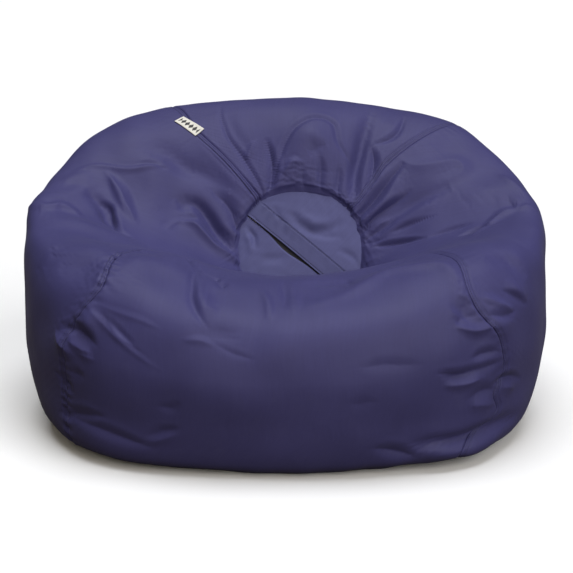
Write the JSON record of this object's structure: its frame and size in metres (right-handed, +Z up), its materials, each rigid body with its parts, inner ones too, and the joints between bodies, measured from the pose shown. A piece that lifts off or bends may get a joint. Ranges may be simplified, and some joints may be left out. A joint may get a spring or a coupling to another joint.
{
  "type": "round bean bag chair",
  "caption": "Round bean bag chair: gored cloth cover gathered into a seat cap with a flapped safety zip, over a zipped inner bag of beads.",
  "frame": {"origin": "middle of the flat base, on the floor", "axes": "-Y is the front, where the sitter's legs go; +X is the sitter's left hand side; +Z is up"},
  "size_m": [1.0398, 0.96, 0.5851],
  "materials": {
    "cover_cloth": "indigo plain-weave polyester with a soft satin sheen, creased and gathered",
    "cap_cloth": "the same indigo cloth, lying flatter and looking a little lighter",
    "base_cloth": "indigo cloth, dull and a little dusty from the floor",
    "zip_tape": "black woven herringbone tape",
    "zip_teeth": "moulded black plastic, slightly glossy on the tips",
    "zip_metal": "dark enamel, worn to bare metal at the edges",
    "spring_steel": "bright rolled spring steel",
    "liner_cloth": "white thin polyester lining cloth",
    "liner_zip_tape": "white woven tape",
    "liner_zip_teeth": "moulded white plastic",
    "beads": "expanded polystyrene beads, 3 to 5 mm across",
    "label_cloth": null,
    "care_label_cloth": "white satin tape, blank"
  },
  "bodies": {
    "cover": {"front_panel": "cover_cloth", "right_panel": "cover_cloth", "back_panel": "cover_cloth", "left_panel": "cover_cloth", "base_panel": "base_cloth", "cap_lower_half": "cap_cloth", "cap_upper_half": "cap_cloth", "zip_flap": "cap_cloth", "zip_tape_lower": "zip_tape", "zip_tape_upper": "zip_tape", "zip_teeth_lower": "zip_teeth", "zip_teeth_upper": "zip_teeth", "zip_top_stops": "zip_metal", "zip_bottom_stop": "zip_metal", "inner_liner": "liner_cloth", "liner_top_lower": "liner_cloth", "liner_top_upper": "liner_cloth", "liner_zip_tape_lower": "liner_zip_tape", "liner_zip_tape_upper": "liner_zip_tape", "liner_zip_teeth_lower": "liner_zip_teeth", "liner_zip_teeth_upper": "liner_zip_teeth", "liner_zip_stops": "zip_metal", "bead_fill": "beads", "woven_label": "label_cloth", "care_label": "care_label_cloth"},
    "zip_slider": {"zip_slider": "zip_metal", "slider_lock_spring": "spring_steel"},
    "liner_zip_slider": {"liner_zip_slider": "zip_metal"}
  },
  "joints": [
    {"name": "zip_slide", "type": "slide", "parent": "cover", "child": "zip_slider", "axis": [0.7547, -0.328, -0.5682], "range_m": [0, 0.2]},
    {"name": "liner_zip_slide", "type": "slide", "parent": "cover", "child": "liner_zip_slider", "axis": [0.7547, -0.328, -0.5682], "range_m": [0, 0.18]}
  ]
}
